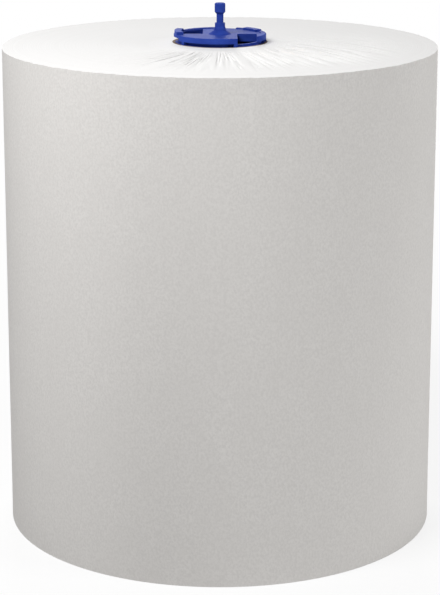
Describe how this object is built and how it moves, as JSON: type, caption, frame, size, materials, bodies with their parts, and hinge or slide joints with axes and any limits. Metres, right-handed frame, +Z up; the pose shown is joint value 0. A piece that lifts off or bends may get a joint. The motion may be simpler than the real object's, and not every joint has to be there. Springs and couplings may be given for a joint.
{
  "type": "paper towel roll",
  "caption": "Hard-wound white paper hand-towel roll on a cardboard core, with a blue plastic end plug whose slim spindle stands up on the roll's axis.",
  "frame": {"origin": "centre of the roll's lower end, on the surface it stands on", "axes": "+Z up the roll's axis toward the plug; -Y toward the front; the web's loose end is at the back, on +Y"},
  "size_m": [0.1868, 0.187, 0.2279],
  "materials": {
    "towel_paper": "matt, soft white, fine fibrous crepe",
    "core_board": "matt brown spiral-wound board",
    "plug_plastic": "royal blue moulded plastic, satin gloss"
  },
  "bodies": {
    "root": {"paper_roll": "towel_paper", "core_tube": "core_board", "end_plug": "plug_plastic"}
  },
  "joints": []
}
